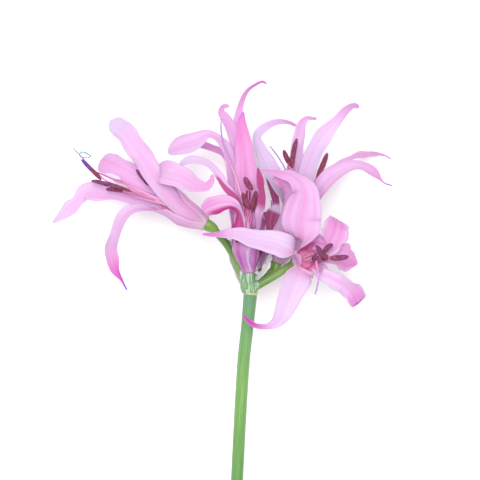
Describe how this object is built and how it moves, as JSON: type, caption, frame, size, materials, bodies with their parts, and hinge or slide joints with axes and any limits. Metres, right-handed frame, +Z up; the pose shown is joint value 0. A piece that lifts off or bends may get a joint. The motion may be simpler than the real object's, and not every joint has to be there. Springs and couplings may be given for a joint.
{
  "type": "nerine flower stem",
  "caption": "Cut nerine stem lying down: a bare green scape ending in an umbel of open pink flowers with narrow, recurved, wavy-edged tepals and maroon anthers.",
  "frame": {"origin": "centre of the bounding box on the surface that the stem lies on", "axes": "+Y along the stem from its cut end to the flowers, +Z up from the surface, +X to the right when the stem is seen from above with its flowers at the top"},
  "size_m": [0.156, 0.3974, 0.0694],
  "materials": {
    "stem": "satin green flesh with a faint waxy bloom",
    "tepals": "thin satin petal, pale lilac pink with a deeper midrib",
    "stamens": "matt maroon anthers on pink filaments",
    "bract": "dry, papery and slightly translucent"
  },
  "bodies": {
    "root": {"scape": "stem", "perianth_left": "tepals", "perianth_centre": "tepals", "perianth_upper_right": "tepals", "perianth_lower_right": "tepals", "perianth_back": "tepals", "stamens_left": "stamens", "stamens_centre": "stamens", "stamens_upper_right": "stamens", "stamens_lower_right": "stamens", "stamens_back": "stamens", "bract_left": "bract", "bract_right": "bract"}
  },
  "joints": []
}
